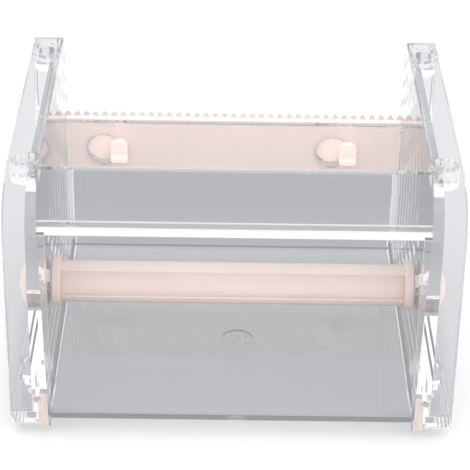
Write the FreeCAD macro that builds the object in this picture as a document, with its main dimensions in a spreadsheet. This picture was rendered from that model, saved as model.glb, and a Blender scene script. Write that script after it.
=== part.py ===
import FreeCAD, Part
import math
import os
import Sketcher
from FreeCAD import Placement, Rotation, Vector

# Stackable tape dispenser: two clear moulded sides, a floor, a front wall with keyholes and a bent
# rear brace make the frame. A toothed cutter bar hooks into the keyholes, and a spindle for the
# rolls turns on two stems that plug in from the sides.
# Frame: X across the width, +Y from the open rear to the cutter at the front, Z up from the
# surface that the studs stand on. The origin is the middle of the footprint.

doc = FreeCAD.newDocument("TapeDispenser")

# Sizes (mm)
sizes = {
    "overallWidth": 130.0,
    "panelDepth": 107.0,
    "panelHeight": 78.0,
    # side panels
    "sideWidth": 9.4,        # one side at its top edge, web and rim together
    "webWall": 3.0,          # web at its top edge
    "rimWall": 2.8,          # rim all round the recess
    "draftRun": 1.5,         # how far the inner face leans in from top to floor
    "draftStart": 6.0,       # height above the rim's foot where the lean begins
    "rearTopRadius": 17.0,
    "frontTopRadius": 2.0,
    "footRadius": 1.5,
    "edgeRadius": 0.8,
    "innerTopRadius": 1.4,   # rounding of the top inner edge, in front of the brace
    "recessRadius": 3.0,
    "bossRadius": 4.2,       # round posts that the sockets and studs stand in
    "topBossHeight": 7.3,
    "footBossHeight": 9.0,
    "postLip": 0.9,          # bead that narrows the rear opening
    "postLipDepth": 3.2,
    # stacking
    "socketRadius": 3.0,
    "socketDepth": 4.5,
    "socketFromOuter": 5.1,
    "socketFromRear": 22.0,
    "socketSpacing": 73.0,
    "studClearance": 0.2,
    "studHeight": 3.0,
    "studEdge": 0.5,
    # floor, front wall and brace
    "floorHeight": 2.2,      # underside of the floor above the rim's foot
    "floorWall": 2.0,
    "floorSetback": 0.4,
    "floorEdge": 0.8,
    "cornerFillet": 1.6,     # floor and front wall, where they meet the side panels
    "gateRadius": 5.0,
    "gateDepth": 0.5,
    "gateFromRear": 42.0,
    "gateAside": 1.8,        # off the middle, to the right
    "frontWallThickness": 3.0,
    "frontWallTop": 49.6,
    "frontWallEdge": 1.4,
    "braceWall": 2.7,        # at the top and at the rear; the bend is thicker
    "braceDrop": 13.7,       # from the top edge down to the brace's foot
    "braceLipDepth": 6.5,
    "braceLipWall": 2.2,
    "braceEdge": 0.7,
    # cutter bar
    "barThickness": 3.6,
    "barHeight": 17.7,
    "barProud": 0.5,         # above the front wall
    "barEndGap": 0.4,
    "barGap": 0.2,           # bar to the wall behind it and to the notch round it
    "barEdge": 0.6,
    "toothPitch": 3.05,
    "toothHeight": 1.3,
    "toothDepth": 1.2,
    "toothTip": 0.9,
    "toothGap": 0.12,
    "toothEndGap": 1.6,      # bare bar beyond the last tooth
    "teethHeadroom": 0.5,
    "nibWidth": 1.8,
    "nibHeight": 2.2,
    # keyholes and pegs
    "pegSpacing": 75.6,
    "pegRise": 8.0,          # peg's centre above the foot of the bar
    "neckRadius": 2.0,
    "neckGap": 0.1,
    "headWidth": 5.6,
    "headHeight": 8.0,
    "headThickness": 2.2,
    "headGap": 0.1,
    "headCorner": 1.0,
    "headShoulder": 2.24,    # the head's top corners
    "headOverrun": 0.56,     # how far the groove's cut runs past the head
    "headGroove": 2.0,
    "headGrooveDepth": 0.8,
    "headFootHeight": 1.8,
    "keyholeRadius": 5.2,
    "keyholeBevel": 0.8,
    "lockTravel": 5.2,
    # spindle
    "spindleFromRear": 30.0,
    "spindleHeight": 31.9,
    "shaftRadius": 6.25,
    "channelWidth": 7.2,
    "channelDepth": 3.2,
    "channelTilt": 22.0,
    "channelOverrun": 1.25,
    "collarRadius": 7.4,
    "collarWidth": 2.8,
    "collarGap": 0.6,
    "collarEdge": 0.6,
    "stemRadius": 3.2,
    "stemGap": 0.08,         # running fit of the stem in the web
    "plugRadius": 1.9,
    "plugGap": 0.04,
    "plugLength": 9.0,
    "plugTipGap": 0.5,
    "knobRadius": 7.0,
    "knobRim": 2.6,
    "knobDome": 2.4,
    "knobGap": 0.3,
}
sheet = doc.addObject("Spreadsheet::Sheet", "Sizes")
for row, (name, value) in enumerate(sizes.items(), start=1):
    sheet.set(f"A{row}", name)
    sheet.set(f"B{row}", repr(value))
    sheet.setAlias(f"B{row}", name)
doc.recompute()


class Term:
    """A length that knows both its value and the sheet expression it comes from."""

    def __init__(self, value, text):
        self.value = float(value)
        self.text = text

    def join(self, other, sign, value):
        other = asTerm(other)
        return Term(value(self.value, other.value), f"({self.text} {sign} {other.text})")

    def __add__(self, other):
        return self.join(other, "+", lambda a, b: a + b)

    def __sub__(self, other):
        return self.join(other, "-", lambda a, b: a - b)

    def __mul__(self, other):
        return self.join(other, "*", lambda a, b: a * b)

    def __truediv__(self, other):
        return self.join(other, "/", lambda a, b: a / b)

    def __neg__(self):
        return Term(-self.value, f"(0 - {self.text})")


def asTerm(number):
    return number if isinstance(number, Term) else Term(number, repr(float(number)))


def size(name):
    return Term(sizes[name], f"Sizes.{name}")


zero = asTerm(0)
tolerance = 1e-6


# Sketch and feature helpers
def makeBody(label):
    body = doc.addObject("PartDesign::Body", label)
    body.Label = label
    return body


def sketchOn(body, name, plane, offset):
    """An empty sketch on one of the body's origin planes, moved along that plane's normal."""
    sketch = body.newObject("Sketcher::SketchObject", name)
    origin = [f for f in body.Origin.OriginFeatures if f.Role == plane][0]
    sketch.AttachmentSupport = [(origin, "")]
    sketch.MapMode = "FlatFace"
    sketch.setExpression("AttachmentOffset.Base.z", offset.text)
    return sketch


def tie(sketch, kind, geometry, point, term):
    """Hold one point of the sketch at a distance from its origin, bound to the sheet."""
    index = sketch.addConstraint(Sketcher.Constraint(kind, -1, 1, geometry, point, term.value))
    sketch.setExpression(f"Constraints[{index}]", term.text)


def roundedLoop(sketch, corners):
    """A closed outline of (x, y, radius) corners whose edges run along the sketch axes where rounded."""
    count = len(corners)
    starts = []
    ends = []
    for i, (x, y, radius) in enumerate(corners):
        before = corners[i - 1]
        after = corners[(i + 1) % count]
        if radius is None:
            starts.append((x, y))
            ends.append((x, y))
            continue
        starts.append(stepTowards(x, y, before, radius))
        ends.append(stepTowards(x, y, after, radius))
    lines = []
    for i in range(count):
        a = ends[i]
        b = starts[(i + 1) % count]
        line = sketch.addGeometry(Part.LineSegment(flat(a), flat(b)))
        tie(sketch, "DistanceX", line, 1, a[0])
        tie(sketch, "DistanceY", line, 1, a[1])
        if corners[(i + 1) % count][2] is not None:
            tie(sketch, "DistanceX", line, 2, b[0])
            tie(sketch, "DistanceY", line, 2, b[1])
        lines.append(line)
    for i, (x, y, radius) in enumerate(corners):
        into = lines[i - 1]
        out = lines[i]
        if radius is None:
            sketch.addConstraint(Sketcher.Constraint("Coincident", into, 2, out, 1))
            continue
        roundCorner(sketch, (x, y), starts[i], ends[i], into, out, radius)


def stepTowards(x, y, other, radius):
    """The tangent point of a rounded corner on the edge towards its neighbour."""
    dx = other[0].value - x.value
    dy = other[1].value - y.value
    if abs(dx) > abs(dy):
        return (x + radius if dx > 0 else x - radius, y)
    return (x, y + radius if dy > 0 else y - radius)


def flat(point):
    return Vector(point[0].value, point[1].value, 0)


def roundCorner(sketch, corner, start, end, into, out, radius):
    """A quarter arc from one tangent point to the other."""
    centre = flat(start) + flat(end) - flat(corner)
    bisector = (flat(corner) - centre).normalize()
    middle = centre + bisector * radius.value
    arc = Part.Arc(flat(start), middle, flat(end))
    piece = sketch.addGeometry(arc)
    turn = (flat(start) - centre).cross(flat(end) - centre).z
    first, last = (1, 2) if turn > 0 else (2, 1)
    sketch.addConstraint(Sketcher.Constraint("Coincident", into, 2, piece, first))
    sketch.addConstraint(Sketcher.Constraint("Coincident", out, 1, piece, last))
    index = sketch.addConstraint(Sketcher.Constraint("Radius", piece, radius.value))
    sketch.setExpression(f"Constraints[{index}]", radius.text)


def circle(sketch, x, y, radius):
    piece = sketch.addGeometry(Part.Circle(Vector(x.value, y.value, 0), Vector(0, 0, 1), radius.value))
    tie(sketch, "DistanceX", piece, 3, x)
    tie(sketch, "DistanceY", piece, 3, y)
    index = sketch.addConstraint(Sketcher.Constraint("Radius", piece, radius.value))
    sketch.setExpression(f"Constraints[{index}]", radius.text)


def box(x0, x1, y0, y1, radius=None):
    return [(x0, y0, radius), (x1, y0, radius), (x1, y1, radius), (x0, y1, radius)]


def add(body, sketch, length, along=1, middle=False):
    """Pad a sketch; along is +1 for the plane's own normal and -1 for the other way."""
    pad = body.newObject("PartDesign::Pad", sketch.Name + "Pad")
    pad.Profile = sketch
    pad.setExpression("Length", length.text)
    pad.Reversed = along < 0
    pad.Midplane = middle
    return checked(body, pad, 1)


def cut(body, sketch, length, along=1, middle=False):
    """Pocket a sketch in the given direction, and make sure that it removes material."""
    pocket = body.newObject("PartDesign::Pocket", sketch.Name + "Pocket")
    pocket.Profile = sketch
    pocket.setExpression("Length", length.text)
    pocket.Reversed = along > 0
    pocket.Midplane = middle
    return checked(body, pocket, -1)


def spin(body, sketch, kind, sign):
    """Revolve a sketch round its own horizontal axis."""
    feature = body.newObject("PartDesign::" + kind, sketch.Name + kind)
    feature.Profile = sketch
    feature.ReferenceAxis = (sketch, ["H_Axis"])
    feature.Angle = 360
    return checked(body, feature, sign)


def checked(body, feature, sign):
    before = body.Shape.Volume if not body.Shape.isNull() else 0.0
    doc.recompute()
    after = feature.Shape.Volume
    if (after - before) * sign <= 0:
        raise RuntimeError(f"{feature.Name} changed the volume from {before:.1f} to {after:.1f}")
    return feature


def soften(body, radius, chosen):
    """Fillet the edges of the body's tip that a test picks out."""
    tip = body.Tip
    names = [f"Edge{i}" for i, edge in enumerate(tip.Shape.Edges, start=1) if chosen(edge)]
    fillet = body.newObject("PartDesign::Fillet", body.Name + "Fillet")
    fillet.Base = (tip, names)
    fillet.setExpression("Radius", radius.text)
    doc.recompute()
    return fillet


# Shared places
rear = -(size("panelDepth") / 2)
front = size("panelDepth") / 2
foot = size("studHeight")
top = foot + size("panelHeight")
outer = size("overallWidth") / 2
innerTop = outer - size("sideWidth")
innerFoot = innerTop - size("draftRun")
draftFrom = foot + size("draftStart")
webOuter = innerTop + size("webWall")
floorUnder = foot + size("floorHeight")
floorTop = floorUnder + size("floorWall")
wallTop = foot + size("frontWallTop")
barBack = front - size("barThickness") - size("barGap")
wallFront = barBack - size("barGap")
wallRear = wallFront - size("frontWallThickness")
barTop = wallTop + size("barProud")
barFoot = barTop - size("barHeight")
pegHeight = barFoot + size("pegRise")
braceFoot = top - size("braceDrop")
spindleY = rear + size("spindleFromRear")
spindleZ = foot + size("spindleHeight")
beyond = size("panelDepth")          # longer than any cut through the frame


def leanAt(height):
    """Half the width between the inner faces at a height above the draft's start."""
    rise = (height - draftFrom) / (top - draftFrom)
    return innerFoot + size("draftRun") * rise


# Side panels
def sideOutline():
    return [
        (rear, foot, size("footRadius")),
        (front, foot, size("footRadius")),
        (front, top, size("frontTopRadius")),
        (rear, top, size("rearTopRadius")),
    ]


def recessOutline():
    """The recess stands a rim's width inside the panel's outline."""
    y0 = rear + size("rimWall")
    y1 = barBack - size("barGap") - size("rimWall")
    z0 = foot + size("rimWall")
    z1 = top - size("rimWall")
    soft = size("recessRadius")
    rearSoft = size("rearTopRadius") - size("rimWall")
    return [(y0, z0, soft), (y1, z0, soft), (y1, z1, soft), (y0, z1, rearSoft)]


def sidePanel(label, side):
    """side is +1 for the right panel and -1 for the left one."""
    body = makeBody(label)
    inner = innerFoot * side
    # the whole plate, from the foot of the inner face outward
    sketch = sketchOn(body, label + "Outline", "YZ_Plane", inner)
    roundedLoop(sketch, sideOutline())
    add(body, sketch, outer - innerFoot, side)
    # draft of the inner face: a wedge is taken off it
    sketch = sketchOn(body, label + "Draft", "XZ_Plane", zero)
    wedge = [(inner, draftFrom, None), (inner, top, None), (innerTop * side, top, None)]
    roundedLoop(sketch, wedge)
    cut(body, sketch, beyond * 2, 1, True)
    # recess open to the outside
    sketch = sketchOn(body, label + "Recess", "YZ_Plane", outer * side)
    roundedLoop(sketch, recessOutline())
    cut(body, sketch, outer - webOuter, -side)
    roundInnerTop(body, label, side)
    # notch across the front edge that takes the end of the cutter bar
    notchTop = barTop + size("toothHeight") + size("teethHeadroom")
    sketch = sketchOn(body, label + "Notch", "YZ_Plane", zero)
    roundedLoop(sketch, box(barBack - size("barGap"), front + size("barGap"), barFoot - size("barGap"), notchTop))
    cut(body, sketch, beyond * 2, 1, True)
    # hole for the knob's stem
    sketch = sketchOn(body, label + "StemHole", "YZ_Plane", zero)
    circle(sketch, spindleY, spindleZ, size("stemRadius") + size("stemGap"))
    cut(body, sketch, beyond * 2, 1, True)
    stackingPosts(body, label, side)
    # bead down the rear edge
    sketch = sketchOn(body, label + "Bead", "XY_Plane", foot)
    beadInner = (innerFoot - size("postLip")) * side
    beadOuter = (innerTop + size("webWall") / 2) * side
    roundedLoop(sketch, box(beadInner, beadOuter, rear, rear + size("postLipDepth")))
    add(body, sketch, braceFoot - foot, 1)
    soften(body, size("edgeRadius"), lambda edge: onOuterRim(edge, side))
    soften(body, size("studEdge"), lambda edge: onStudFoot(edge))
    return body


def roundInnerTop(body, label, side):
    """Rounds the top inner edge, from the end of the brace to the front."""
    radius = size("innerTopRadius")
    sketch = sketchOn(body, label + "InnerTop", "XZ_Plane", -(rear + size("rearTopRadius")))
    hollow(sketch, innerTop * side, top, radius, side, -1)
    cut(body, sketch, beyond, -1)


def hollow(sketch, x, z, radius, alongX, alongZ):
    """A square corner at (x, z) with a quarter round taken out of its far side."""
    step = radius * alongX
    rise = radius * alongZ
    corner = (x, z)
    sideEnd = (x + step, z)
    upEnd = (x, z + rise)
    lines = []
    for start, end in ((upEnd, corner), (corner, sideEnd)):
        line = sketch.addGeometry(Part.LineSegment(flat(start), flat(end)))
        tie(sketch, "DistanceX", line, 1, start[0])
        tie(sketch, "DistanceY", line, 1, start[1])
        lines.append(line)
    tie(sketch, "DistanceX", lines[1], 2, sideEnd[0])
    tie(sketch, "DistanceY", lines[1], 2, sideEnd[1])
    sketch.addConstraint(Sketcher.Constraint("Coincident", lines[0], 2, lines[1], 1))
    centre = Vector((x + step).value, (z + rise).value, 0)
    middle = centre + (flat(corner) - centre).normalize() * radius.value
    arc = sketch.addGeometry(Part.Arc(flat(sideEnd), middle, flat(upEnd)))
    turn = (flat(sideEnd) - centre).cross(flat(upEnd) - centre).z
    first, last = (1, 2) if turn > 0 else (2, 1)
    sketch.addConstraint(Sketcher.Constraint("Coincident", lines[1], 2, arc, first))
    sketch.addConstraint(Sketcher.Constraint("Coincident", lines[0], 1, arc, last))
    index = sketch.addConstraint(Sketcher.Constraint("Radius", arc, radius.value))
    sketch.setExpression(f"Constraints[{index}]", radius.text)


def stackingPosts(body, label, side):
    """Round posts in the recess, with a socket in each upper one and a stud under each lower one."""
    x = (outer - size("socketFromOuter")) * side
    upper = sketchOn(body, label + "UpperPosts", "XY_Plane", top)
    lower = sketchOn(body, label + "LowerPosts", "XY_Plane", foot)
    sockets = sketchOn(body, label + "Sockets", "XY_Plane", top)
    studs = sketchOn(body, label + "Studs", "XY_Plane", foot)
    for y in stackPlaces():
        circle(upper, x, y, size("bossRadius"))
        circle(lower, x, y, size("bossRadius"))
        circle(sockets, x, y, size("socketRadius"))
        circle(studs, x, y, size("socketRadius") - size("studClearance"))
    add(body, upper, size("topBossHeight"), -1)
    add(body, lower, size("footBossHeight"), 1)
    cut(body, sockets, size("socketDepth"), -1)
    add(body, studs, size("studHeight"), -1)


def stackPlaces():
    first = rear + size("socketFromRear")
    return [first, first + size("socketSpacing")]


def near(value, term):
    """True when a coordinate of a built edge lies on a plane of the model."""
    return abs(value - asTerm(term).value) < tolerance


def onOuterRim(edge, side):
    """Edges of the outer silhouette, which lie in the outer face along the panel's own outline."""
    box3 = edge.BoundBox
    flatOut = near(box3.XMin, outer * side) and near(box3.XMax, outer * side)
    onTop = near(box3.ZMax, top)
    onRear = near(box3.YMin, rear)
    onFoot = near(box3.ZMin, foot)
    reachesFront = box3.YMax > barBack.value and box3.YMin > barBack.value
    return flatOut and (onTop or onRear or onFoot) and not reachesFront


def onStudFoot(edge):
    return near(edge.BoundBox.ZMax, zero) and edge.Curve.TypeId == "Part::GeomCircle"


# Clear floor, wall and brace
def floorPlate():
    body = makeBody("floor_plate")
    sketch = sketchOn(body, "FloorOutline", "XY_Plane", floorUnder)
    lip = rear + size("postLipDepth")
    setback = rear + size("floorSetback")
    beadInner = innerFoot - size("postLip")
    corners = [
        (-beadInner, setback, None), (beadInner, setback, None), (beadInner, lip, None),
        (innerFoot, lip, None), (innerFoot, wallRear, None), (-innerFoot, wallRear, None),
        (-innerFoot, lip, None), (-beadInner, lip, None),
    ]
    roundedLoop(sketch, corners)
    add(body, sketch, size("floorWall"), 1)
    soften(body, size("floorEdge"), lambda edge: onFloorLip(edge))
    # fillets along both sides
    sketch = sketchOn(body, "FloorFillets", "XZ_Plane", -lip)
    for side in (-1, 1):
        hollow(sketch, innerFoot * side, floorTop, size("cornerFillet"), -side, 1)
    add(body, sketch, wallRear - lip, -1)
    sketch = sketchOn(body, "GateMark", "XY_Plane", floorTop)
    circle(sketch, size("gateAside"), rear + size("gateFromRear"), size("gateRadius"))
    cut(body, sketch, size("gateDepth"), -1)
    return body


def onFloorLip(edge):
    """The two long edges of the floor's rear face."""
    box3 = edge.BoundBox
    setback = rear + size("floorSetback")
    return near(box3.YMin, setback) and near(box3.YMax, setback) and near(box3.ZMin, box3.ZMax)


def frontWall():
    body = makeBody("front_wall")
    sketch = sketchOn(body, "WallOutline", "XZ_Plane", -wallRear)
    wide = leanAt(wallTop)
    corners = [
        (-innerFoot, floorUnder, None), (innerFoot, floorUnder, None), (innerFoot, draftFrom, None),
        (wide, wallTop, None), (-wide, wallTop, None), (-innerFoot, draftFrom, None),
    ]
    roundedLoop(sketch, corners)
    add(body, sketch, size("frontWallThickness"), -1)
    soften(body, size("frontWallEdge"), lambda edge: onWallTop(edge))
    wallFillets(body)
    # keyholes: a round hole that the head passes, and a slot to the right that the neck slides along
    slotHalf = size("neckRadius") + size("neckGap")
    sketch = sketchOn(body, "KeyholeSlots", "XZ_Plane", -wallRear)
    seats = sketchOn(body, "KeyholeSeats", "XZ_Plane", -wallRear)
    holes = sketchOn(body, "KeyholeHoles", "XZ_Plane", -wallRear)
    for peg in pegPlaces():
        hole = peg - size("lockTravel")
        roundedLoop(sketch, box(hole, peg, pegHeight - slotHalf, pegHeight + slotHalf))
        circle(seats, peg, pegHeight, slotHalf)
        circle(holes, hole, pegHeight, size("keyholeRadius"))
    for profile in (sketch, seats, holes):
        cut(body, profile, size("frontWallThickness"), -1)
    bevelKeyholes(body)
    # nibs under the ends of the bar
    sketch = sketchOn(body, "BarNibs", "XZ_Plane", -wallFront)
    nibTop = barFoot - size("barGap")
    nibFoot = nibTop - size("nibHeight")
    for side in (-1, 1):
        nibInner = (innerFoot - size("nibWidth")) * side
        roundedLoop(sketch, box(nibInner, innerFoot * side, nibFoot, nibTop))
    add(body, sketch, size("barThickness"), -1)
    return body


def onWallTop(edge):
    """The long rear edge of the wall's top."""
    box3 = edge.BoundBox
    return near(box3.ZMin, wallTop) and near(box3.YMin, wallRear) and near(box3.YMax, wallRear)


def wallFillets(body):
    """Fillets up both ends of the wall, which follow the lean of the side panels."""
    filletTop = wallTop - size("frontWallEdge")
    for side in (-1, 1):
        name = "RightFillet" if side > 0 else "LeftFillet"
        ends = []
        for height, wide in ((draftFrom, innerFoot), (filletTop, leanAt(filletTop))):
            sketch = sketchOn(body, f"{name}{len(ends)}", "XY_Plane", height)
            hollow(sketch, wide * side, wallRear, size("cornerFillet"), -side, -1)
            ends.append(sketch)
        loft = body.newObject("PartDesign::AdditiveLoft", name)
        loft.Profile = ends[0]
        loft.Sections = [ends[1]]
        loft.Ruled = True
        checked(body, loft, 1)
        # the stretch below the lean is upright
        sketch = sketchOn(body, f"{name}Foot", "XY_Plane", floorTop)
        hollow(sketch, innerFoot * side, wallRear, size("cornerFillet"), -side, -1)
        add(body, sketch, draftFrom - floorTop, 1)


def bevelKeyholes(body):
    tip = body.Tip
    names = []
    for i, edge in enumerate(tip.Shape.Edges, start=1):
        box3 = edge.BoundBox
        inRearFace = near(box3.YMin, wallRear) and near(box3.YMax, wallRear)
        isHole = edge.Curve.TypeId == "Part::GeomCircle" and near(edge.Curve.Radius, size("keyholeRadius"))
        if inRearFace and isHole:
            names.append(f"Edge{i}")
    bevel = body.newObject("PartDesign::Chamfer", "KeyholeBevel")
    bevel.Base = (tip, names)
    bevel.setExpression("Size", size("keyholeBevel").text)
    doc.recompute()


def pegPlaces():
    return [-(size("pegSpacing") / 2), size("pegSpacing") / 2]


def rearBrace():
    """A sheet bent round the panel's upper rear corner, with a lip along its lower edge."""
    body = makeBody("rear_brace")
    sketch = sketchOn(body, "BraceSection", "YZ_Plane", zero)
    radius = size("rearTopRadius")
    wall = size("braceWall")
    centreY = rear + radius
    centreZ = top - radius
    bentSheet(sketch, centreY, centreZ, radius, wall)
    add(body, sketch, innerTop * 2, 1, True)
    # the sheet stops at its own foot
    sketch = sketchOn(body, "BraceFootCut", "YZ_Plane", zero)
    roundedLoop(sketch, box(rear - wall, centreY - wall, centreZ - wall, braceFoot))
    cut(body, sketch, outer * 2, 1, True)
    # lip along the lower edge, run back to the sheet's outer face
    sketch = sketchOn(body, "BraceLip", "YZ_Plane", zero)
    lipTop = braceFoot + size("braceLipWall")
    roundedLoop(sketch, box(rear + wall / 2, rear + size("braceLipDepth"), braceFoot, lipTop))
    add(body, sketch, innerTop * 2, 1, True)
    soften(body, size("braceEdge"), lambda edge: onBraceLip(edge) or onBraceTop(edge))
    # ends follow the lean of the inner faces
    sketch = sketchOn(body, "BraceEnds", "XZ_Plane", zero)
    low = centreZ - wall
    for side in (-1, 1):
        corners = [
            (leanAt(low) * side, low, None), (outer * side, low, None),
            (outer * side, top, None), (innerTop * side, top, None),
        ]
        roundedLoop(sketch, corners)
    cut(body, sketch, beyond * 2, 1, True)
    return body


def onBraceLip(edge):
    """The two long edges of the lip's free side, and the sheet's lowest edge."""
    box3 = edge.BoundBox
    level = near(box3.ZMin, box3.ZMax) and near(box3.YMin, box3.YMax)
    atEnd = near(box3.YMin, rear + size("braceLipDepth"))
    atFoot = near(box3.ZMin, braceFoot)
    return level and (atEnd or atFoot)


def onBraceTop(edge):
    """The upper long edge of the sheet's front end."""
    box3 = edge.BoundBox
    sheetEnd = rear + size("rearTopRadius")
    return near(box3.YMin, sheetEnd) and near(box3.ZMin, top) and near(box3.ZMax, top)


def bentSheet(sketch, y, z, radius, wall):
    """A quarter bend. Its inner arc repeats the outer one, one wall further in and lower."""
    turn = math.asin(wall.value / radius.value)
    spans = ((y, z, 0), (y + wall, z - wall, turn))
    arcs = []
    for centreY, centreZ, short in spans:
        ring = Part.Circle(flat((centreY, centreZ)), Vector(0, 0, 1), radius.value)
        arc = sketch.addGeometry(Part.ArcOfCircle(ring, math.pi / 2 + short, math.pi - short))
        tie(sketch, "DistanceX", arc, 3, centreY)
        tie(sketch, "DistanceY", arc, 3, centreZ)
        index = sketch.addConstraint(Sketcher.Constraint("Radius", arc, radius.value))
        sketch.setExpression(f"Constraints[{index}]", radius.text)
        tie(sketch, "DistanceX", arc, 1, y)
        tie(sketch, "DistanceY", arc, 2, z)
        arcs.append(arc)
    for end in (1, 2):
        line = sketch.addGeometry(Part.LineSegment(*[sketch.getPoint(arc, end) for arc in arcs]))
        sketch.addConstraint(Sketcher.Constraint("Coincident", line, 1, arcs[0], end))
        sketch.addConstraint(Sketcher.Constraint("Coincident", line, 2, arcs[1], end))


# Cutter bar
def cutterBar():
    body = makeBody("cutter_bar")
    reach = outer - size("barEndGap")
    sketch = sketchOn(body, "BarOutline", "XZ_Plane", -barBack)
    roundedLoop(sketch, box(-reach, reach, barFoot, barTop))
    add(body, sketch, size("barThickness"), -1)
    soften(body, size("barEdge"), lambda edge: onBarFace(edge))
    toothRow(body)
    pegs(body)
    return body


def onBarFace(edge):
    """Long and short edges round the bar's front face."""
    box3 = edge.BoundBox
    return near(box3.YMin, box3.YMax) and not near(box3.YMin, barBack)


def toothRow(body):
    """Blunt saw teeth standing on the front edge of the bar's top face."""
    half = (size("toothPitch") - size("toothGap")) / 2
    tip = size("toothTip") / 2
    rowLength = size("toothPitch") * (toothCount() - 1)
    start = -(rowLength / 2)
    back = barBack + size("barThickness") - size("barEdge") - size("toothDepth")
    sketch = sketchOn(body, "ToothShape", "XZ_Plane", -back)
    rise = barTop + size("toothHeight")
    sink = barTop - size("barEdge")
    corners = [
        (start - half, sink, None), (start + half, sink, None), (start + half, barTop, None),
        (start + tip, rise, None), (start - tip, rise, None), (start - half, barTop, None),
    ]
    roundedLoop(sketch, corners)
    pad = add(body, sketch, size("toothDepth"), -1)
    row = body.newObject("PartDesign::LinearPattern", "ToothRow")
    row.Originals = [pad]
    row.Direction = (sketch, ["H_Axis"])
    row.setExpression("Length", rowLength.text)
    row.setExpression("Occurrences", toothCount().text)
    body.Tip = row
    doc.recompute()


def toothCount():
    """As many whole teeth as the bar has room for."""
    room = (outer - size("barEndGap") - size("toothEndGap")) * 2 / size("toothPitch")
    return Term(math.floor(room.value), f"floor({room.text})")


def pegs(body):
    """Necks that cross the front wall, each with a head that is taller than its slot."""
    necks = sketchOn(body, "PegNecks", "XZ_Plane", -barBack)
    heads = sketchOn(body, "PegHeads", "XZ_Plane", -(wallRear - size("headGap")))
    grooves = sketchOn(body, "PegGrooves", "XZ_Plane", -(wallRear - size("headGap") - size("headThickness")))
    halfWide = size("headWidth") / 2
    lowSide = pegHeight - size("headHeight") / 2
    highSide = pegHeight + size("headHeight") / 2
    corner = size("headCorner")
    grooveFoot = lowSide + size("headFootHeight")
    for x in pegPlaces():
        circle(necks, x, pegHeight, size("neckRadius"))
        corners = [
            (x - halfWide, lowSide, corner), (x + halfWide, lowSide, corner),
            (x + halfWide, highSide, size("headShoulder")), (x - halfWide, highSide, size("headShoulder")),
        ]
        roundedLoop(heads, corners)
        span = halfWide + size("headOverrun")
        roundedLoop(grooves, box(x - span, x + span, grooveFoot, grooveFoot + size("headGroove")))
    necksReach = size("barGap") * 2 + size("frontWallThickness") + size("headGap") + size("headThickness") / 2
    add(body, necks, necksReach, 1)
    add(body, heads, size("headThickness"), 1)
    cut(body, grooves, size("headGrooveDepth"), -1)


# Spindle
def spindleEnd():
    """Distance from the middle to the outer face of a collar."""
    return leanAt(spindleZ) - size("collarGap")


def spindleShaft():
    """Built on the X axis, then set on the spindle's own axis."""
    body = makeBody("spindle_shaft")
    end = spindleEnd()
    sketch = sketchOn(body, "ShaftSection", "YZ_Plane", zero)
    circle(sketch, zero, zero, size("shaftRadius"))
    add(body, sketch, end * 2, 1, True)
    # two channels, back to back
    bottom = size("shaftRadius") - size("channelDepth")
    half = size("channelWidth") / 2
    sketch = sketchOn(body, "ShaftChannels", "YZ_Plane", zero)
    for way in (-1, 1):
        channelTop = size("shaftRadius") + size("channelOverrun")
        roundedLoop(sketch, box(bottom * way, channelTop * way, -half, half))
    cut(body, sketch, (end - size("collarWidth")) * 2, 1, True)
    for side in (-1, 1):
        name = "RightCollar" if side > 0 else "LeftCollar"
        sketch = sketchOn(body, name, "YZ_Plane", end * side)
        circle(sketch, zero, zero, size("collarRadius"))
        add(body, sketch, size("collarWidth"), -side)
    soften(body, size("collarEdge"), lambda edge: onCollar(edge))
    for side in (-1, 1):
        name = "RightBore" if side > 0 else "LeftBore"
        sketch = sketchOn(body, name, "YZ_Plane", end * side)
        circle(sketch, zero, zero, size("plugRadius") + size("plugGap"))
        cut(body, sketch, size("plugLength") + size("plugTipGap"), -side)
    body.setExpression("Placement.Base.y", spindleY.text)
    body.setExpression("Placement.Base.z", spindleZ.text)
    body.setExpression("Placement.Rotation.Axis.x", "1")
    body.setExpression("Placement.Rotation.Axis.y", "0")
    body.setExpression("Placement.Rotation.Axis.z", "0")
    body.setExpression("Placement.Rotation.Angle", (zero - size("channelTilt")).text)
    return body


def onCollar(edge):
    return edge.Curve.TypeId == "Part::GeomCircle" and near(edge.Curve.Radius, size("collarRadius"))


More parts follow.
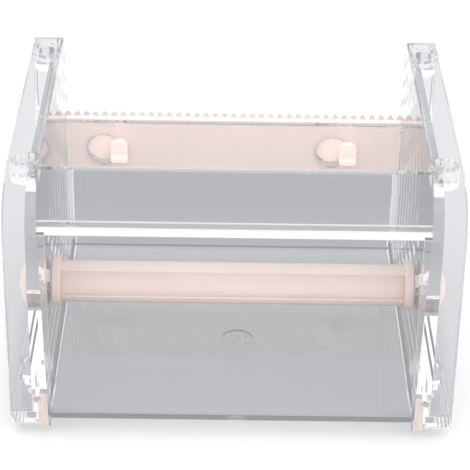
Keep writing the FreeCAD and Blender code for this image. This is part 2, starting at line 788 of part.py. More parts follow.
def knob(label, side):
    """Domed cap, a stem for the web's hole and a thinner plug for the shaft, on the X axis."""
    body = makeBody(label)
    plugTip = (spindleEnd() - size("plugLength")) * side
    shoulder = (spindleEnd() + size("collarGap") / 2) * side
    capInner = (webOuter + size("knobGap")) * side
    rim = (webOuter + size("knobGap") + size("knobRim")) * side
    crown = (webOuter + size("knobGap") + size("knobRim") + size("knobDome")) * side
    sketch = sketchOn(body, label + "Profile", "XY_Plane", zero)
    path = [
        (plugTip, zero), (plugTip, size("plugRadius")), (shoulder, size("plugRadius")),
        (shoulder, size("stemRadius")), (capInner, size("stemRadius")), (capInner, size("knobRadius")),
        (rim, size("knobRadius")),
    ]
    lines = []
    for a, b in zip(path, path[1:]):
        line = sketch.addGeometry(Part.LineSegment(flat(a), flat(b)))
        tie(sketch, "DistanceX", line, 1, a[0])
        tie(sketch, "DistanceY", line, 1, a[1])
        lines.append(line)
    tie(sketch, "DistanceX", lines[-1], 2, rim)
    tie(sketch, "DistanceY", lines[-1], 2, size("knobRadius"))
    for before, after in zip(lines, lines[1:]):
        sketch.addConstraint(Sketcher.Constraint("Coincident", before, 2, after, 1))
    # dome: an arc through the rim and the crown, centred on the axis
    r = size("knobRadius")
    rise = size("knobDome")
    domeRadius = (r * r + rise * rise) / (rise * 2)
    centreX = crown - domeRadius * side
    reach = math.atan2(r.value, domeRadius.value - rise.value)
    ring = Part.Circle(flat((centreX, zero)), Vector(0, 0, 1), domeRadius.value)
    first, last = (0, reach) if side > 0 else (math.pi - reach, math.pi)
    dome = sketch.addGeometry(Part.ArcOfCircle(ring, first, last))
    rimEnd, crownEnd = (2, 1) if side > 0 else (1, 2)
    sketch.addConstraint(Sketcher.Constraint("Coincident", dome, rimEnd, lines[-1], 2))
    tie(sketch, "DistanceX", dome, crownEnd, crown)
    tie(sketch, "DistanceY", dome, crownEnd, zero)
    index = sketch.addConstraint(Sketcher.Constraint("Radius", dome, domeRadius.value))
    sketch.setExpression(f"Constraints[{index}]", domeRadius.text)
    axis = sketch.addGeometry(Part.LineSegment(flat((crown, zero)), flat((plugTip, zero))))
    sketch.addConstraint(Sketcher.Constraint("Coincident", axis, 1, dome, crownEnd))
    sketch.addConstraint(Sketcher.Constraint("Coincident", axis, 2, lines[0], 1))
    spin(body, sketch, "Revolution", 1)
    body.setExpression("Placement.Base.y", spindleY.text)
    body.setExpression("Placement.Base.z", spindleZ.text)
    return body


# Build, check and write
pieces = [
    sidePanel("left_side_panel", -1),
    sidePanel("right_side_panel", 1),
    floorPlate(),
    frontWall(),
    rearBrace(),
    cutterBar(),
    spindleShaft(),
    knob("left_knob", -1),
    knob("right_knob", 1),
]
doc.recompute()
for thing in doc.Objects:
    if "Invalid" in thing.State or "Error" in thing.State:
        raise RuntimeError(f"{thing.Name} failed: {thing.State}")
for piece in pieces:
    if piece.Shape.isNull() or not piece.Shape.isValid() or len(piece.Shape.Solids) != 1:
        raise RuntimeError(f"{piece.Label} is not one valid solid")
os.makedirs("parts", exist_ok=True)
for piece in pieces:
    piece.Shape.exportStep(f"parts/{piece.Label}.step")
    print(f"{piece.Label}: {piece.Shape.Volume / 1000:.2f} cm3")
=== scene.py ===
import bpy
import bmesh
import math
from mathutils import Matrix, Vector


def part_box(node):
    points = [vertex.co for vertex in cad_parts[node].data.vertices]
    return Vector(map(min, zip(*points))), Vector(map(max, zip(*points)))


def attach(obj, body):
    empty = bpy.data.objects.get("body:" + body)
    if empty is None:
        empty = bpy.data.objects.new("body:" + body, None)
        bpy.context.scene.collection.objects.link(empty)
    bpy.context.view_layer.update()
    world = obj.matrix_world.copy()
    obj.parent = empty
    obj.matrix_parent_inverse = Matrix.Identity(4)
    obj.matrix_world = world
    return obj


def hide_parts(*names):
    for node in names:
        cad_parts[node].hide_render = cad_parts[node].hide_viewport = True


# Stackable tape dispenser: a clear moulded frame, a pink cutter bar and a pink spindle on two knobs.
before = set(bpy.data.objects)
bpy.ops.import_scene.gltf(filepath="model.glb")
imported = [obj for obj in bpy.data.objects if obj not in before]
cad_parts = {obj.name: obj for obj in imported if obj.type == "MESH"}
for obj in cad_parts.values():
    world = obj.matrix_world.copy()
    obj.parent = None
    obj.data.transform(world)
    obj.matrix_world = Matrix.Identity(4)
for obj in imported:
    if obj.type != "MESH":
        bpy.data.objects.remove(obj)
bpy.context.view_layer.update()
print("frame loaded")

mm = 0.001
scene = bpy.context.scene

# Camera, aimed from above the open rear.
camera = {
    "place": (-3.9, -498.5, 325.6),  # mm
    "pitch": 29.98,
    "yaw": 0.517,
    "roll": 1.059,
    "lens": 141.7,
    "film": 36,
    "clipStart": 10,  # mm
}


def addCamera():
    data = bpy.data.cameras.new("camera")
    data.lens = camera["lens"]
    data.sensor_width = camera["film"]
    data.clip_start = camera["clipStart"] * mm
    eye = bpy.data.objects.new("camera", data)
    scene.collection.objects.link(eye)
    yaw = Matrix.Rotation(-math.radians(camera["yaw"]), 4, "Z")
    tilt = Matrix.Rotation(math.radians(90 - camera["pitch"]), 4, "X")
    roll = Matrix.Rotation(math.radians(camera["roll"]), 4, "Z")
    eye.matrix_world = Matrix.Translation(Vector(camera["place"]) * mm) @ yaw @ tilt @ roll
    scene.camera = eye


def newMaterial(name):
    material = bpy.data.materials.new(name)
    material.use_nodes = True
    tree = material.node_tree
    return material, tree, tree.nodes["Principled BSDF"]


# Mixes two colours; each is a plain colour or another node's output.
def mixColour(tree, factor, first, second):
    mix = tree.nodes.new("ShaderNodeMix")
    mix.data_type = "RGBA"
    tree.links.new(factor, mix.inputs["Factor"])
    for end, colour in (("A", first), ("B", second)):
        socket = [s for s in mix.inputs if s.name == end and s.type == "RGBA"][0]
        if isinstance(colour, tuple):
            socket.default_value = colour
        else:
            tree.links.new(colour, socket)
    return [s for s in mix.outputs if s.type == "RGBA"][0]


# Pale studio. The floor is white when it is seen plainly and shows painted shade when it is seen through
# clear plastic, a grey that also glows as a painted glow: middle grey under the dispenser, deeper towards the
# far side of it, lighter beyond its sides.
studio = {
    "floorSize": 6.0,
    "floorPlain": (0.92, 0.92, 0.92, 1),
    "shadeMiddle": (0.258, 0.260, 0.268, 1),
    "shadeSides": (0.33, 0.33, 0.336, 1),
    "middleHalf": 62,  # mm from the middle, where the middle grey begins to give way
    "sidesHalf": 72,  # mm from the middle, where the sides' grey is full
    "shadeBack": (0.168, 0.169, 0.174, 1),
    "backStart": 30,  # mm beyond the middle, where the grey begins to deepen
    "backEnd": 110,
    "bounces": 20,  # light runs a long way inside the clear edges
    "sky": (0.97, 0.98, 1.0, 1),
    "skyStrength": 1.0,
    "aim": (0, 0, 0.04),
    "lamps": {
        "topLamp": {"place": (0, 0.15, 1.2), "size": (1.4, 1.0), "watts": 3.5},
        "frontLamp": {"place": (0.1, -1.3, 0.75), "size": (1.4, 0.7), "watts": 7.0},
        "leftLamp": {"place": (-1.1, -0.2, 0.6), "size": (0.7, 0.7), "watts": 1.2},
        "rightLamp": {"place": (1.1, -0.1, 0.6), "size": (0.7, 0.7), "watts": 1.0},
    },
}


def addLamp(name, place, size, watts):
    data = bpy.data.lights.new(name, "AREA")
    data.shape = "RECTANGLE"
    data.size, data.size_y = size
    data.energy = watts
    lamp = bpy.data.objects.new(name, data)
    lamp.location = place
    lamp.rotation_euler = (Vector(place) - Vector(studio["aim"])).to_track_quat("Z", "Y").to_euler()
    lamp.visible_glossy = False
    lamp.visible_transmission = False
    scene.collection.objects.link(lamp)


# 0 up to one distance along an axis and 1 from a second one on. Across the width both sides count.
def rampAlong(tree, axis, near, far):
    place = tree.nodes.new("ShaderNodeTexCoord")
    split = tree.nodes.new("ShaderNodeSeparateXYZ")
    tree.links.new(place.outputs["Object"], split.inputs[0])
    distance = split.outputs[axis]
    if axis == "X":
        away = tree.nodes.new("ShaderNodeMath")
        away.operation = "ABSOLUTE"
        tree.links.new(distance, away.inputs[0])
        distance = away.outputs[0]
    ramp = tree.nodes.new("ShaderNodeMapRange")
    ramp.interpolation_type = "SMOOTHSTEP"
    ramp.inputs["From Min"].default_value = near * mm
    ramp.inputs["From Max"].default_value = far * mm
    tree.links.new(distance, ramp.inputs["Value"])
    return ramp.outputs["Result"]


def addStudio():
    half = studio["floorSize"] / 2
    corners = [(-half, -half, 0), (half, -half, 0), (half, half, 0), (-half, half, 0)]
    mesh = bpy.data.meshes.new("studioFloor")
    mesh.from_pydata(corners, [], [(0, 1, 2, 3)])
    floor = bpy.data.objects.new("studioFloor", mesh)
    scene.collection.objects.link(floor)
    material, tree, shader = newMaterial("studioFloor")
    # Seen through the plastic, the floor takes the painted shade as its colour and also glows with it as a
    # painted glow.
    path = tree.nodes.new("ShaderNodeLightPath").outputs["Is Transmission Ray"]
    beyond = rampAlong(tree, "Y", studio["backStart"], studio["backEnd"])
    aside = rampAlong(tree, "X", studio["middleHalf"], studio["sidesHalf"])
    middle = mixColour(tree, beyond, studio["shadeMiddle"], studio["shadeBack"])
    through = mixColour(tree, aside, middle, studio["shadeSides"])
    tone = mixColour(tree, path, studio["floorPlain"], through)
    glow = mixColour(tree, path, (0, 0, 0, 1), through)
    tree.links.new(tone, shader.inputs["Base Color"])
    tree.links.new(glow, shader.inputs["Emission Color"])
    shader.inputs["Emission Strength"].default_value = 1
    shader.inputs["Roughness"].default_value = 1
    shader.inputs["Specular IOR Level"].default_value = 0
    mesh.materials.append(material)


def addLight():
    world = bpy.data.worlds.new("softStudio")
    world.use_nodes = True
    sky = world.node_tree.nodes["Background"]
    sky.inputs["Color"].default_value = studio["sky"]
    sky.inputs["Strength"].default_value = studio["skyStrength"]
    scene.world = world
    for name, lamp in studio["lamps"].items():
        addLamp(name, lamp["place"], lamp["size"], lamp["watts"])
    scene.view_settings.view_transform = "Standard"
    scene.cycles.max_bounces = studio["bounces"]
    scene.cycles.glossy_bounces = studio["bounces"]
    scene.cycles.transmission_bounces = studio["bounces"]


# Clear plastic: polished acrylic with a faint unevenness from the mould, and a faint painted glow. Lamps
# shine through it.
clearLook = {
    "tint": (0.988, 0.991, 0.997, 1),
    "lampTint": (0.992, 0.994, 0.996, 1),
    "ior": 1.46,
    "glow": (0.97, 0.98, 1.0, 1),
    "glowStrength": 0.014,
    "roughness": (0.005, 0.03),
    "patch": 60,
    "ripple": 35,
    "rippleStrength": 0.02,
    "rippleHeight": 1.0,  # mm
}


def noiseOver(tree, scale, detail):
    place = tree.nodes.new("ShaderNodeTexCoord")
    noise = tree.nodes.new("ShaderNodeTexNoise")
    noise.inputs["Scale"].default_value = scale
    noise.inputs["Detail"].default_value = detail
    tree.links.new(place.outputs["Object"], noise.inputs["Vector"])
    return noise.outputs["Fac"]


# Spreads the middle of a noise over a range of values.
def spread(tree, factor, low, high):
    ramp = tree.nodes.new("ShaderNodeMapRange")
    ramp.inputs["From Min"].default_value = 0.3
    ramp.inputs["From Max"].default_value = 0.7
    ramp.inputs["To Min"].default_value = low
    ramp.inputs["To Max"].default_value = high
    tree.links.new(factor, ramp.inputs["Value"])
    return ramp.outputs["Result"]


def bumpFrom(tree, height, strength, distance):
    bump = tree.nodes.new("ShaderNodeBump")
    bump.inputs["Strength"].default_value = strength
    bump.inputs["Distance"].default_value = distance * mm
    tree.links.new(height, bump.inputs["Height"])
    return bump.outputs["Normal"]


def clearPlastic():
    material, tree, shader = newMaterial("clearPlastic")
    shader.inputs["Base Color"].default_value = clearLook["tint"]
    shader.inputs["Transmission Weight"].default_value = 1
    shader.inputs["IOR"].default_value = clearLook["ior"]
    # Painted glow: a faint even light given off by the clear plastic.
    shader.inputs["Emission Color"].default_value = clearLook["glow"]
    shader.inputs["Emission Strength"].default_value = clearLook["glowStrength"]
    roughness = spread(tree, noiseOver(tree, clearLook["patch"], 2), *clearLook["roughness"])
    tree.links.new(roughness, shader.inputs["Roughness"])
    waves = noiseOver(tree, clearLook["ripple"], 0)
    ripple = bumpFrom(tree, waves, clearLook["rippleStrength"], clearLook["rippleHeight"])
    tree.links.new(ripple, shader.inputs["Normal"])
    lamp = tree.nodes.new("ShaderNodeBsdfTransparent")
    lamp.inputs["Color"].default_value = clearLook["lampTint"]
    path = tree.nodes.new("ShaderNodeLightPath")
    mix = tree.nodes.new("ShaderNodeMixShader")
    tree.links.new(path.outputs["Is Shadow Ray"], mix.inputs["Fac"])
    tree.links.new(shader.outputs[0], mix.inputs[1])
    tree.links.new(lamp.outputs[0], mix.inputs[2])
    tree.links.new(mix.outputs[0], tree.nodes["Material Output"].inputs["Surface"])
    return material


# Pink plastic: satin, pale, a little uneven in tone. One pink is made in a lighter copy for the bar and a
# darker copy for the spindle, as painted light and painted shade.
pinkLook = {
    # Painted light and shade: the bar's pink is lighter and the spindle's darker than the one pink they
    # share.
    "barLitTone": ((0.95, 0.79, 0.72, 1), (0.97, 0.82, 0.76, 1)),
    "spindleShadedTone": ((0.66, 0.545, 0.505, 1), (0.69, 0.58, 0.54, 1)),
    "toothTone": ((0.70, 0.63, 0.595, 1), (0.74, 0.67, 0.635, 1)),
    "barGlow": 0.25,  # painted glow, standing in for daylight that comes through the thin bar from its far side
    "outerTone": (0.74, 0.60, 0.545, 1),  # the bar's outer face, painted in a darker tone and without the painted glow, as it takes the daylight itself
    # A faint painted glow on the spindle and knobs.
    "spindleGlow": 0.03,
    "toneScale": 45,
    "roughness": (0.34, 0.46),
    "patch": 120,
    "grain": 2200,
    "grainStrength": 0.06,
    "grainHeight": 0.1,  # mm
    "outerStart": 0.5,  # mm in from the bar's outer face, where its darker painted tone begins
    "outerFull": 0.1,
}


def pinkPlastic(name, tones, glow, outerFace=None):
    material, tree, shader = newMaterial(name)
    tone = mixColour(tree, noiseOver(tree, pinkLook["toneScale"], 3), *tones)
    shine = tone
    # Painted shade on the bar's outer face: a darker tone and no painted glow, as the daylight falls on it
    # itself.
    if outerFace:
        outside = rampAlong(tree, "Y", outerFace - pinkLook["outerStart"], outerFace - pinkLook["outerFull"])
        shine = mixColour(tree, outside, tone, (0, 0, 0, 1))
        tone = mixColour(tree, outside, tone, pinkLook["outerTone"])
    tree.links.new(tone, shader.inputs["Base Color"])
    # Painted glow in the tone's colour, left out on the bar's outer face.
    tree.links.new(shine, shader.inputs["Emission Color"])
    shader.inputs["Emission Strength"].default_value = glow
    roughness = spread(tree, noiseOver(tree, pinkLook["patch"], 2), *pinkLook["roughness"])
    tree.links.new(roughness, shader.inputs["Roughness"])
    grain = noiseOver(tree, pinkLook["grain"], 2)
    bump = bumpFrom(tree, grain, pinkLook["grainStrength"], pinkLook["grainHeight"])
    tree.links.new(bump, shader.inputs["Normal"])
    return material


# Frosted plastic: the mark in the floor where the plastic was let in, and the keyholes' beads, whose frosted
# white is a painted highlight on the keyholes' rounded lips.
frostedAndHighlightLook = {
    "tint": (0.95, 0.95, 0.97, 1),
    "throughput": 0.55,
    "roughness": (0.3, 0.6),
    "patch": 900,
    "grain": 1400,
    "grainStrength": 0.4,
    "grainHeight": 0.2,  # mm
}


def frostedAndHighlightPlastic():
    material, tree, shader = newMaterial("frostedAndHighlightPlastic")
    shader.inputs["Base Color"].default_value = frostedAndHighlightLook["tint"]
    shader.inputs["Transmission Weight"].default_value = frostedAndHighlightLook["throughput"]
    shader.inputs["IOR"].default_value = clearLook["ior"]
    roughness = spread(tree, noiseOver(tree, frostedAndHighlightLook["patch"], 3), *frostedAndHighlightLook["roughness"])
    tree.links.new(roughness, shader.inputs["Roughness"])
    grain = noiseOver(tree, frostedAndHighlightLook["grain"], 2)
    bump = bumpFrom(tree, grain, frostedAndHighlightLook["grainStrength"], frostedAndHighlightLook["grainHeight"])
    tree.links.new(bump, shader.inputs["Normal"])
    return material


# Mesh helpers, in millimetres and degrees.
meshing = {"merge": 0.01, "sharpFrom": 35, "bevelFrom": 40}


def newPiece(name, build, material, body, standsFor=None):
    bm = bmesh.new()
    build(bm)
    bmesh.ops.remove_doubles(bm, verts=bm.verts, dist=meshing["merge"])
    loose = [edge for edge in bm.edges if not edge.link_faces]  # left on a turned outline's own axis
    bmesh.ops.delete(bm, geom=loose, context="EDGES")
    bmesh.ops.recalc_face_normals(bm, faces=bm.faces)
    bmesh.ops.scale(bm, vec=(mm, mm, mm), verts=bm.verts)
    mesh = bpy.data.meshes.new(name)
    bm.to_mesh(mesh)
    bm.free()
    return finishPiece(name, mesh, material, body, standsFor)


def finishPiece(name, mesh, material, body, standsFor=None):
    mesh.materials.clear()
    mesh.materials.append(material)
    for face in mesh.polygons:
        face.use_smooth = True
    mesh.set_sharp_from_angle(angle=math.radians(meshing["sharpFrom"]))
    piece = bpy.data.objects.new(name, mesh)
    scene.collection.objects.link(piece)
    if standsFor:
        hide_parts(standsFor)
    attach(piece, body)
    return piece


def soften(piece, width, segments=3):
    bevel = piece.modifiers.new("softEdges", "BEVEL")
    bevel.width = width * mm
    bevel.segments = segments
    bevel.limit_method = "ANGLE"
    bevel.angle_limit = math.radians(meshing["bevelFrom"])


# Points of an arc.
def arc(centre, radius, first, last, steps):
    first, last = math.radians(first), math.radians(last)
    return [
        (centre[0] + radius * math.cos(first + (last - first) * i / steps),
         centre[1] + radius * math.sin(first + (last - first) * i / steps))
        for i in range(steps + 1)
    ]


# A flat outline pushed along an axis: place turns an outline point and a distance into a 3-D point.
def prism(bm, outline, start, end, place):
    rows = [[bm.verts.new(place(u, v, w)) for u, v in outline] for w in (start, end)]
    count = len(outline)
    for i in range(count):
        after = (i + 1) % count
        bm.faces.new((rows[0][i], rows[0][after], rows[1][after], rows[1][i]))
    bm.faces.new(rows[0])
    bm.faces.new(rows[1][::-1])


# A closed ring of (x, radius) points turned round the spindle's axis.
def lathe(bm, profile, centre, steps):
    rings = []
    for x, radius in profile:
        circle = [(centre[0] + radius * math.cos(math.tau * i / steps),
                   centre[1] + radius * math.sin(math.tau * i / steps)) for i in range(steps)]
        rings.append([bm.verts.new((x, y, z)) for y, z in circle])
    for k, ring in enumerate(rings):
        other = rings[(k + 1) % len(rings)]
        for i in range(steps):
            j = (i + 1) % steps
            bm.faces.new((ring[i], ring[j], other[j], other[i]))


def alongY(u, v, w):
    return (u, w, v)


def alongX(u, v, w):
    return (w, u, v)


# The lowest and highest corner of a CAD node.
def inMm(node):
    low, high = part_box(node)
    return [v / mm for v in low], [v / mm for v in high]


# Cutter bar: an upright strip with two headed pegs behind it and a row of teeth on top.
cutter = {
    "thickness": 3.6,
    "edge": 0.6,
    "softEdge": 0.22,
    "pegApart": 75.6,
    "pegRise": 8.0,  # from the bar's foot to the pegs' middle
    "neckRadius": 2.0,
    "headWidth": 5.6,
    "headHeight": 8.0,
    "headThickness": 2.2,
    "headGap": 0.1,  # between the heads and the wall
    "shoulder": 2.4,
    "lowCorner": 0.8,
    "grooveFoot": 1.8,
    "grooveHeight": 2.0,
    "grooveDepth": 0.8,
    "grooveCorner": 0.3,
    "coreCorner": 0.2,
    "coreOverlap": 0.4,
    "overlap": 0.5,  # how far the necks run on into the heads and the bar
    "toothHeight": 1.3,
    "toothPitch": 3.05,
    "toothDepth": 1.2,
    "toothTip": 0.8,
    "toothGap": 0.1,
    "toothSink": 0.5,
    "toothRound": 0.28,
    "endGap": 1.6,
}


# An upright box with one radius on its two lower corners and another on its upper ones.
def roundedBox(x0, x1, z0, z1, low, high, steps=5):
    return (
        arc((x1 - low, z0 + low), low, -90, 0, steps)
        + arc((x1 - high, z1 - high), high, 0, 90, steps)
        + arc((x0 + high, z1 - high), high, 90, 180, steps)
        + arc((x0 + low, z0 + low), low, 180, 270, steps)
    )


def buildBar(bm):
    low, high = inMm("cutter_bar")
    top = high[2] - cutter["toothHeight"]
    back = high[1] - cutter["thickness"]
    edge = cutter["edge"]
    front = high[1] - edge
    section = [(back, low[2])] + arc((front, low[2] + edge), edge, -90, 0, 4)
    section += arc((front, top - edge), edge, 0, 90, 4) + [(back, top)]
    prism(bm, section, low[0], high[0], alongX)
    for side in (-1, 1):
        buildPeg(bm, cutter["pegApart"] / 2 * side, low[2] + cutter["pegRise"], low[1], back)


# A round neck, and a head in two parts with a groove across it.
def buildPeg(bm, x, z, rear, back):
    left, right = x - cutter["headWidth"] / 2, x + cutter["headWidth"] / 2
    foot, top = z - cutter["headHeight"] / 2, z + cutter["headHeight"] / 2
    front = rear + cutter["headThickness"]
    grooveFoot = foot + cutter["grooveFoot"]
    grooveTop = grooveFoot + cutter["grooveHeight"]
    corner, core, more = cutter["grooveCorner"], cutter["coreCorner"], cutter["coreOverlap"]
    neck = arc((x, z), cutter["neckRadius"], 0, 345, 23)
    lowHead = roundedBox(left, right, foot, grooveFoot, cutter["lowCorner"], corner)
    highHead = roundedBox(left, right, grooveTop, top, corner, cutter["shoulder"], 8)
    middle = roundedBox(left, right, grooveFoot - more, grooveTop + more, core, core)
    prism(bm, neck, front - cutter["overlap"], back + cutter["overlap"], alongY)
    prism(bm, lowHead, rear, front, alongY)
    prism(bm, highHead, rear, front, alongY)
    prism(bm, middle, rear + cutter["grooveDepth"], front, alongY)


# A Geometry Nodes tree with named inputs, given as the inputs' names and socket types.
def newTree(name, inputs):
    tree = bpy.data.node_groups.new(name, "GeometryNodeTree")
    face = tree.interface
    face.new_socket("Geometry", in_out="OUTPUT", socket_type="NodeSocketGeometry")
    sockets = {
        title: face.new_socket(title, in_out="INPUT", socket_type="NodeSocket" + kind)
        for title, kind in inputs
    }
    return tree, sockets, tree.nodes.new("NodeGroupInput"), tree.nodes.new("NodeGroupOutput")


def connect(tree, *pairs):
    for source, target in pairs:
        tree.links.new(source, target)


def endTree(tree, geometry, given, result):
    real = tree.nodes.new("GeometryNodeRealizeInstances")
    paint = tree.nodes.new("GeometryNodeSetMaterial")
    connect(
        tree,
        (geometry, real.inputs[0]),
        (real.outputs[0], paint.inputs["Geometry"]),
        (given.outputs["Material"], paint.inputs["Material"]),
        (paint.outputs[0], result.inputs[0]),
    )


# Runs a tree and returns what it makes as a plain mesh.
def grow(name, tree, sockets, values):
    seed = bpy.data.objects.new(name, bpy.data.meshes.new(name))
    scene.collection.objects.link(seed)
    modifier = seed.modifiers.new(name, "NODES")
    modifier.node_group = tree
    for key, value in values.items():
        modifier[sockets[key].identifier] = value
    graph = bpy.context.evaluated_depsgraph_get()
    mesh = bpy.data.meshes.new_from_object(seed.evaluated_get(graph))
    seed.modifiers.clear()
    bpy.data.objects.remove(seed)
    return mesh


# One tooth is a rounded trapezium pushed back, stood along a line of points.
def toothTree():
    inputs = [("Count", "Int"), ("Start", "Vector"), ("Material", "Material")]
    inputs += [(size, "Float") for size in ("Pitch", "Height", "Base", "Tip", "Depth", "Round")]
    tree, sockets, given, result = newTree("toothRow", inputs)
    make = tree.nodes.new
    outline = make("GeometryNodeCurvePrimitiveQuadrilateral")
    outline.mode = "TRAPEZOID"
    outline.inputs["Offset"].default_value = 0
    rounding = make("GeometryNodeFilletCurve")
    rounding.mode = "POLY"
    rounding.inputs["Count"].default_value = 3
    fill = make("GeometryNodeFillCurve")
    fill.mode = "NGONS"
    push = make("GeometryNodeExtrudeMesh")
    push.inputs["Individual"].default_value = False
    flip = make("GeometryNodeFlipFaces")
    join = make("GeometryNodeJoinGeometry")
    merge = make("GeometryNodeMergeByDistance")
    merge.inputs["Distance"].default_value = meshing["merge"] * mm
    row = make("GeometryNodeMeshLine")
    step = make("ShaderNodeCombineXYZ")
    stand = make("GeometryNodeInstanceOnPoints")
    stand.inputs["Rotation"].default_value = (math.radians(90), 0, 0)
    connect(
        tree,
        (given.outputs["Base"], outline.inputs["Bottom Width"]),
        (given.outputs["Tip"], outline.inputs["Top Width"]),
        (given.outputs["Height"], outline.inputs["Height"]),
        (outline.outputs[0], rounding.inputs["Curve"]),
        (given.outputs["Round"], rounding.inputs["Radius"]),
        (rounding.outputs[0], fill.inputs[0]),
        (fill.outputs[0], push.inputs["Mesh"]),
        (given.outputs["Depth"], push.inputs["Offset Scale"]),
        (fill.outputs[0], flip.inputs[0]),
        (push.outputs["Mesh"], join.inputs[0]),
        (flip.outputs[0], join.inputs[0]),
        (join.outputs[0], merge.inputs["Geometry"]),
        (given.outputs["Count"], row.inputs["Count"]),
        (given.outputs["Start"], row.inputs["Start Location"]),
        (given.outputs["Pitch"], step.inputs["X"]),
        (step.outputs[0], row.inputs["Offset"]),
        (row.outputs[0], stand.inputs["Points"]),
        (merge.outputs[0], stand.inputs["Instance"]),
    )
    endTree(tree, stand.outputs[0], given, result)
    return tree, sockets


def addTeeth():
    low, high = inMm("cutter_bar")
    pitch = cutter["toothPitch"]
    count = math.floor((high[0] - low[0] - 2 * cutter["endGap"]) / pitch)
    tall = cutter["toothHeight"] + cutter["toothSink"]
    start = (-pitch * (count - 1) / 2 * mm, (high[1] - cutter["edge"]) * mm, (high[2] - tall / 2) * mm)
    tree, sockets = toothTree()
    mesh = grow("cutterTeeth", tree, sockets, {
        "Count": count,
        "Start": start,
        "Material": toothPink,
        "Pitch": pitch * mm,
        "Height": tall * mm,
        "Base": (pitch - cutter["toothGap"]) * mm,
        "Tip": cutter["toothTip"] * mm,
        "Depth": cutter["toothDepth"] * mm,
        "Round": cutter["toothRound"] * mm,
    })
    finishPiece("cutterTeeth", mesh, toothPink, "cutter")


# Knobs: a shallow dome on a stem, with the plug that goes into the spindle.
knob = {
    "rim": 2.6,
    "dome": 2.4,
    "radius": 7.0,
    "stem": 3.2,
    "plug": 1.9,
    "plugLength": 9.3,
    "plugEdge": 0.3,
    "edge": 0.5,
    "domeRings": (0.97, 0.9, 0.8, 0.65, 0.5, 0.35, 0.2, 0.1),  # of the radius
    "pole": 0.001,  # radius of the rings that close both ends once they are merged
    "steps": 96,
}


def buildKnob(bm, node, side):
    low, high = inMm(node)
    tip, crown = (low[0], high[0]) if side > 0 else (-high[0], -low[0])
    axis = ((low[1] + high[1]) / 2, (low[2] + high[2]) / 2)
    rim = crown - knob["dome"]
    cap = rim - knob["rim"]
    shoulder = tip + knob["plugLength"]
    edge, plug, plugEdge, radius = knob["edge"], knob["plug"], knob["plugEdge"], knob["radius"]
    profile = [(tip, knob["pole"]), (tip, plug - plugEdge), (tip + plugEdge, plug), (shoulder, plug)]
    profile += [(shoulder, knob["stem"]), (cap, knob["stem"])]
    profile += arc((cap + edge, radius - edge), edge, 180, 90, 4)
    profile += [(rim + knob["dome"] * (1 - r * r), radius * r) for r in knob["domeRings"] + (knob["pole"],)]
    lathe(bm, [(x * side, radius) for x, radius in profile], axis, knob["steps"])


# Spindle: a round bar with a channel front and back, and a collar at each end.
spindle = {
    "radius": 6.25,
    "channel": 7.2,
    "depth": 3.2,
    "tilt": 22,
    "lip": 0.35,
    "lipCut": 0.14,
    "collar": 2.8,
    "collarRadius": 7.4,
    "collarEdge": 0.6,
    "overlap": 0.5,  # how far the bar runs on into the collars
    "bore": 1.94,
    "steps": 96,
}


def buildSpindle(bm):
    low, high = inMm("spindle_shaft")
    axis = ((low[1] + high[1]) / 2, (low[2] + high[2]) / 2)
    half, lip, radius = spindle["channel"] / 2, spindle["lip"], spindle["radius"]
    floor = radius - spindle["depth"]
    edgeAngle = math.degrees(math.asin((half + lip) / radius))
    mouth = math.sqrt(radius ** 2 - (half + lip) ** 2) - spindle["lipCut"]
    rim = arc((0, 0), radius, edgeAngle, 180 - edgeAngle, 16)
    upper = [(-mouth, half), (-floor - lip, half), (-floor, half - lip)]
    channel = upper + [(u, -v) for u, v in upper[::-1]]
    outline = [(u * way, v * way) for way in (1, -1) for u, v in rim + channel]
    lean = math.radians(-spindle["tilt"])
    leaning = [
        (axis[0] + u * math.cos(lean) - v * math.sin(lean), axis[1] + u * math.sin(lean) + v * math.cos(lean))
        for u, v in outline
    ]
    inner = high[0] - spindle["collar"]
    reach = inner + spindle["overlap"]
    prism(bm, leaning, -reach, reach, alongX)
    edge, bore = spindle["collarEdge"], spindle["bore"]
    shoulder = spindle["collarRadius"] - edge
    for side in (-1, 1):
        ring = [(inner, bore)] + arc((inner + edge, shoulder), edge, 180, 90, 4)
        ring += arc((high[0] - edge, shoulder), edge, 90, 0, 4) + [(high[0], bore)]
        lathe(bm, [(x * side, r) for x, r in ring], axis, spindle["steps"])


# Rounded beads round the keyholes, on the wall's rear face, in frosted white as a painted highlight on the
# keyholes' lips.
rims = {
    "radius": 5.45,
    "thick": 0.32,
    "inset": 0.3,
    "fromPeg": -5.2,
    "steps": 72,
    "around": 10,
}


def buildRims(bm):
    low = inMm("cutter_bar")[0]
    wallRear = low[1] + cutter["headThickness"] + cutter["headGap"]
    z = low[2] + cutter["pegRise"]
    middle = (rims["radius"], wallRear + rims["inset"])
    section = arc(middle, rims["thick"], 0, 360, rims["around"])[:-1]
    for side in (-1, 1):
        x = cutter["pegApart"] / 2 * side + rims["fromPeg"]
        rows = []
        for i in range(rims["steps"]):
            turn = math.tau * i / rims["steps"]
            points = [(x + r * math.cos(turn), y, z + r * math.sin(turn)) for r, y in section]
            rows.append([bm.verts.new(point) for point in points])
        for i, row in enumerate(rows):
            after = rows[(i + 1) % len(rows)]
            for k in range(len(row)):
                j = (k + 1) % len(row)
                bm.faces.new((row[k], row[j], after[j], after[k]))


# Mark in the floor: small frosted beads in its shallow round, scattered with a fixed seed.
gate = {
    "aside": 1.8,
    "fromRear": 42.0,
    "radius": 4.7,
    "filled": 0.93,  # part of the radius that the beads reach
    "floorThickness": 2.0,
    "depth": 0.5,
    "lift": 0.15,
    "bead": 0.34,
    "flatness": 0.6,
    "smallest": 0.5,
    "largest": 1.2,
    "beads": 90,
    "seed": 4,
}


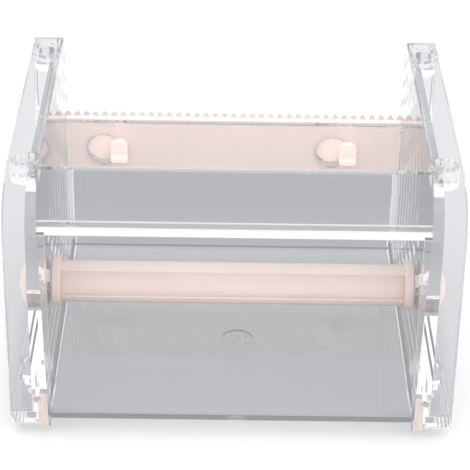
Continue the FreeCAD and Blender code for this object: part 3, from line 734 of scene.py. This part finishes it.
def beadTree():
    inputs = [("Seed", "Int"), ("Place", "Vector"), ("Material", "Material")]
    inputs += [(size, "Float") for size in ("Radius", "Bead", "Density")]
    tree, sockets, given, result = newTree("floorBeads", inputs)
    make = tree.nodes.new
    disc = make("GeometryNodeMeshCircle")
    disc.fill_type = "NGON"
    move = make("GeometryNodeTransform")
    scatter = make("GeometryNodeDistributePointsOnFaces")
    ball = make("GeometryNodeMeshIcoSphere")
    ball.inputs["Subdivisions"].default_value = 2
    flatten = make("GeometryNodeTransform")
    flatten.inputs["Scale"].default_value = (1, 1, gate["flatness"])
    vary = make("FunctionNodeRandomValue")
    vary.data_type = "FLOAT"
    vary.inputs[2].default_value = gate["smallest"]
    vary.inputs[3].default_value = gate["largest"]
    stand = make("GeometryNodeInstanceOnPoints")
    connect(
        tree,
        (given.outputs["Radius"], disc.inputs["Radius"]),
        (disc.outputs[0], move.inputs["Geometry"]),
        (given.outputs["Place"], move.inputs["Translation"]),
        (move.outputs[0], scatter.inputs["Mesh"]),
        (given.outputs["Density"], scatter.inputs["Density"]),
        (given.outputs["Seed"], scatter.inputs["Seed"]),
        (given.outputs["Bead"], ball.inputs["Radius"]),
        (ball.outputs[0], flatten.inputs["Geometry"]),
        (scatter.outputs["Points"], stand.inputs["Points"]),
        (flatten.outputs[0], stand.inputs["Instance"]),
        (given.outputs["Seed"], vary.inputs["Seed"]),
        (vary.outputs[1], stand.inputs["Scale"]),
    )
    endTree(tree, stand.outputs[0], given, result)
    return tree, sockets


def addBeads():
    y = inMm("left_side_panel")[0][1] + gate["fromRear"]
    z = inMm("floor_plate")[0][2] + gate["floorThickness"] - gate["depth"] + gate["lift"]
    area = math.pi * (gate["radius"] * mm) ** 2
    tree, sockets = beadTree()
    mesh = grow("floorBeads", tree, sockets, {
        "Radius": gate["radius"] * gate["filled"] * mm,
        "Bead": gate["bead"] * mm,
        "Density": gate["beads"] / area,
        "Seed": gate["seed"],
        "Place": (gate["aside"] * mm, y * mm, z * mm),
        "Material": frostedAndHighlight,
    })
    finishPiece("floorBeads", mesh, frostedAndHighlight, "frame")


addCamera()
addStudio()
addLight()
clear = clearPlastic()
frostedAndHighlight = frostedAndHighlightPlastic()
barFront = inMm("cutter_bar")[1][1]
toothPink = pinkPlastic("toothPink", pinkLook["toothTone"], 0)
# The bar's copy of the pink is painted lighter and glows; the spindle's is painted darker.
barPinkLit = pinkPlastic("barPinkLit", pinkLook["barLitTone"], pinkLook["barGlow"], barFront)
spindlePinkShaded = pinkPlastic("spindlePinkShaded", pinkLook["spindleShadedTone"], pinkLook["spindleGlow"])
print("studio and materials made")

pinkNodes = {
    "cutter_bar": barPinkLit,
    "spindle_shaft": spindlePinkShaded,
    "left_knob": spindlePinkShaded,
    "right_knob": spindlePinkShaded,
}
for name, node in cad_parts.items():
    node.data.materials.clear()
    node.data.materials.append(pinkNodes.get(name, clear))
print("nodes painted")

bar = newPiece("cutterBar", buildBar, barPinkLit, "cutter", "cutter_bar")
soften(bar, cutter["softEdge"])
addTeeth()
print("cutter bar made")
newPiece("spindleShaft", buildSpindle, spindlePinkShaded, "spindle", "spindle_shaft")
for name, node, side in (("leftKnob", "left_knob", -1), ("rightKnob", "right_knob", 1)):
    newPiece(name, lambda bm: buildKnob(bm, node, side), spindlePinkShaded, node, node)
print("spindle and knobs made")
# The keyhole beads' frosted white is a painted highlight.
newPiece("keyholeRims", buildRims, frostedAndHighlight, "frame")
addBeads()
print("keyhole beads and floor mark made")
